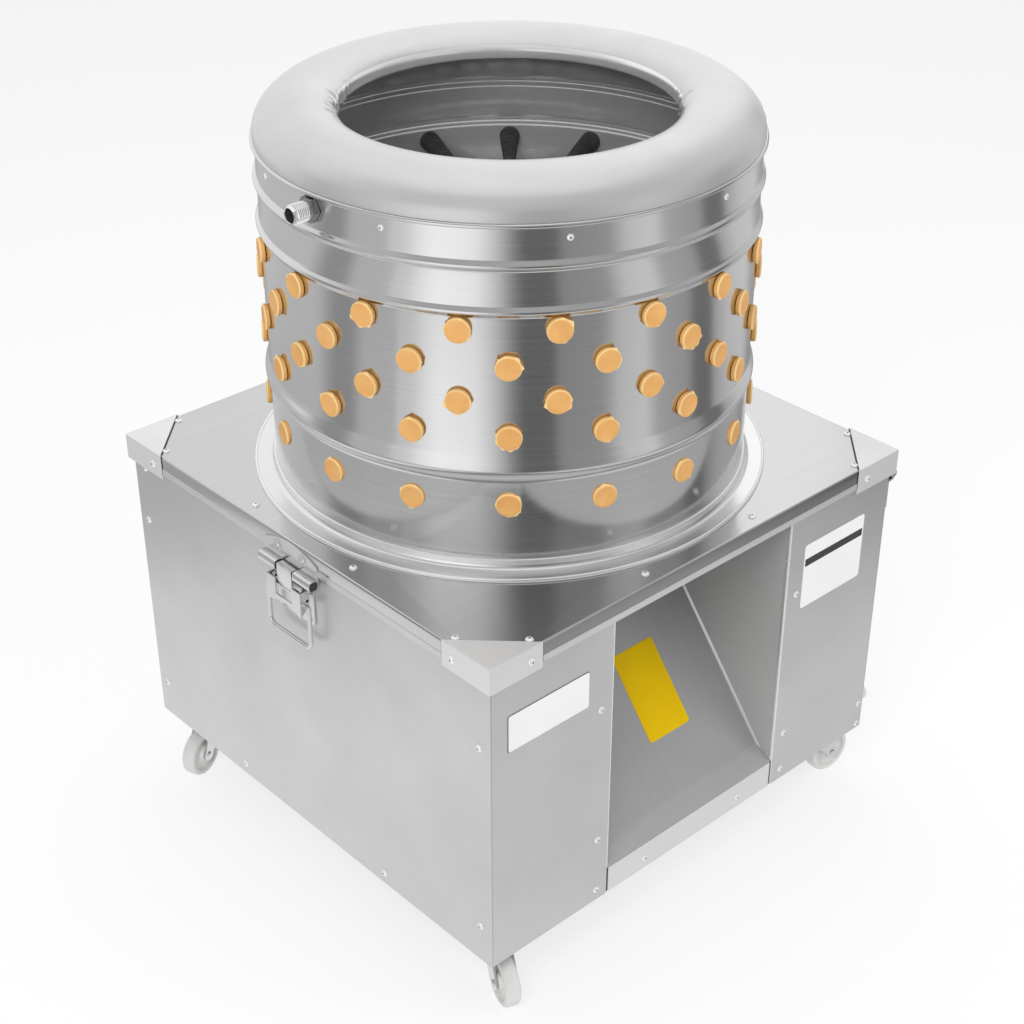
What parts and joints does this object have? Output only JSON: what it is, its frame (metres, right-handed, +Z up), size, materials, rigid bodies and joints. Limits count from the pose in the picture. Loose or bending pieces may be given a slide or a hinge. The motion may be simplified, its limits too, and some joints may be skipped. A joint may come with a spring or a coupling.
{
  "type": "poultry plucker",
  "caption": "Stainless drum poultry plucker on casters: a finger-lined drum stands on a square base with a feather chute, a tipping top plate and a draw latch.",
  "frame": {"origin": "on the floor, straight below the drum's axis, which is the middle of the bounding box", "axes": "+X is right seen from the chute side, +Y runs from the chute to the back, +Z is up along the drum's axis"},
  "size_m": [0.665, 0.6505, 0.908],
  "materials": {
    "panel_steel": "brushed",
    "bright_sheet": "satin",
    "polished_steel": "polished",
    "frame_steel": "galvanised",
    "bright_hardware": "bright zinc",
    "cast_iron_grey": "cast",
    "cast_alloy": "turned",
    "motor_paint": "enamel",
    "belt_rubber": "matte",
    "finger_rubber": "matte",
    "black_plastic": "matte",
    "green_plastic": "gloss",
    "red_plastic": "gloss",
    "pale_plastic": "satin",
    "wheel_plastic": "satin"
  },
  "bodies": {
    "base": {"base_frame": "frame_steel", "cross_beams": "frame_steel", "left_panel": "panel_steel", "right_panel": "panel_steel", "back_panel": "panel_steel", "front_panel_left": "panel_steel", "front_panel_right": "panel_steel", "kick_rail": "bright_sheet", "chute_floor": "bright_sheet", "chute_walls": "bright_sheet", "wash_pan": "bright_sheet", "bearing_housings": "cast_iron_grey", "motor_plate": "frame_steel", "motor_body": "motor_paint", "motor_cowl": "black_plastic", "motor_bolts": "bright_hardware", "drive_belt": "belt_rubber", "switch_box": "black_plastic", "button_bezels": "black_plastic", "cable_gland": "pale_plastic", "panel_screws": "bright_hardware", "hinge_lower_leaves": "bright_hardware", "latch_base": "bright_hardware", "caster_plates": "frame_steel"},
    "lid": {"top_plate": "polished_steel", "corner_caps": "bright_sheet", "drum_shell": "polished_steel", "drum_ring": "bright_sheet", "top_cover": "bright_sheet", "finger_row_one": "finger_rubber", "finger_row_two": "finger_rubber", "finger_row_three": "finger_rubber", "finger_row_four": "finger_rubber", "finger_row_five": "finger_rubber", "water_inlet": "bright_hardware", "inlet_nuts": "bright_hardware", "lid_screws": "bright_hardware", "hinge_upper_leaves": "bright_hardware", "latch_keeper": "bright_hardware"},
    "rotor": {"finger_plate": "polished_steel", "plate_fingers": "finger_rubber", "sweepers": "polished_steel", "main_shaft": "bright_hardware", "driven_pulley": "cast_alloy"},
    "motor_rotor": {"motor_shaft": "bright_hardware", "drive_pulley": "cast_alloy", "cooling_fan": "black_plastic"},
    "latch_lever": {"latch_lever": "bright_hardware"},
    "latch_hook": {"latch_hook": "bright_hardware"},
    "pull_ring": {"pull_ring": "bright_hardware"},
    "start_button": {"start_button": "green_plastic"},
    "stop_button": {"stop_button": "red_plastic"},
    "fork_front_left": {"fork_front_left": "bright_hardware"},
    "wheel_front_left": {"wheel_front_left": "wheel_plastic"},
    "fork_front_right": {"fork_front_right": "bright_hardware"},
    "wheel_front_right": {"wheel_front_right": "wheel_plastic"},
    "fork_back_left": {"fork_back_left": "bright_hardware"},
    "wheel_back_left": {"wheel_back_left": "wheel_plastic"},
    "fork_back_right": {"fork_back_right": "bright_hardware"},
    "wheel_back_right": {"wheel_back_right": "wheel_plastic"}
  },
  "joints": [
    {"name": "lid_hinge", "type": "hinge", "parent": "base", "child": "lid", "pos_m": [0.3245, 0, 0.4445], "axis": [0, 1, 0], "range_deg": [0, 75]},
    {"name": "rotor_spin", "type": "hinge", "parent": "base", "child": "rotor", "pos_m": [0, 0, 0.3], "axis": [0, 0, 1], "continuous": true},
    {"name": "motor_spin", "type": "hinge", "parent": "base", "child": "motor_rotor", "pos_m": [0, 0.205, 0.3], "axis": [0, 0, 1], "continuous": true},
    {"name": "latch_lever_swing", "type": "hinge", "parent": "base", "child": "latch_lever", "pos_m": [-0.3235, 0, 0.428], "axis": [0, 1, 0], "range_deg": [0, 100]},
    {"name": "latch_hook_swing", "type": "hinge", "parent": "latch_lever", "child": "latch_hook", "pos_m": [-0.3228, 0, 0.42003], "axis": [0, 1, 0], "range_deg": [-100, 0]},
    {"name": "pull_ring_swing", "type": "hinge", "parent": "latch_lever", "child": "pull_ring", "pos_m": [-0.326, 0, 0.415], "axis": [0, 1, 0], "range_deg": [0, 70]},
    {"name": "start_button_press", "type": "slide", "parent": "base", "child": "start_button", "axis": [0, -1, 0], "range_m": [0, 0.003], "stiffness_N_per_m": 300},
    {"name": "stop_button_press", "type": "slide", "parent": "base", "child": "stop_button", "axis": [0, -1, 0], "range_m": [0, 0.003], "stiffness_N_per_m": 300},
    {"name": "swivel_front_left", "type": "hinge", "parent": "base", "child": "fork_front_left", "pos_m": [-0.272, -0.272, 0.077], "axis": [0, 0, 1], "continuous": true},
    {"name": "roll_front_left", "type": "hinge", "parent": "fork_front_left", "child": "wheel_front_left", "pos_m": [-0.28158, -0.29831, 0.03], "axis": [-0.9397, 0.342, 0], "continuous": true},
    {"name": "swivel_front_right", "type": "hinge", "parent": "base", "child": "fork_front_right", "pos_m": [0.272, -0.272, 0.077], "axis": [0, 0, 1], "continuous": true},
    {"name": "roll_front_right", "type": "hinge", "parent": "fork_front_right", "child": "wheel_front_right", "pos_m": [0.29979, -0.27541, 0.03], "axis": [-0.1219, -0.9925, 0], "continuous": true},
    {"name": "swivel_back_left", "type": "hinge", "parent": "base", "child": "fork_back_left", "pos_m": [-0.272, 0.272, 0.077], "axis": [0, 0, 1], "continuous": true},
    {"name": "roll_back_left", "type": "hinge", "parent": "fork_back_left", "child": "wheel_back_left", "pos_m": [-0.29831, 0.26242, 0.03], "axis": [-0.342, 0.9397, 0], "continuous": true},
    {"name": "swivel_back_right", "type": "hinge", "parent": "base", "child": "fork_back_right", "pos_m": [0.272, 0.272, 0.077], "axis": [0, 0, 1], "continuous": true},
    {"name": "roll_back_right", "type": "hinge", "parent": "fork_back_right", "child": "wheel_back_right", "pos_m": [0.28158, 0.24569, 0.03], "axis": [-0.9397, -0.342, 0], "continuous": true}
  ],
  "couplings": [
    {"joint": "motor_spin", "follows": "rotor_spin", "ratio": 4},
    {"joint": "latch_hook_swing", "follows": "latch_lever_swing", "ratio": -1}
  ]
}
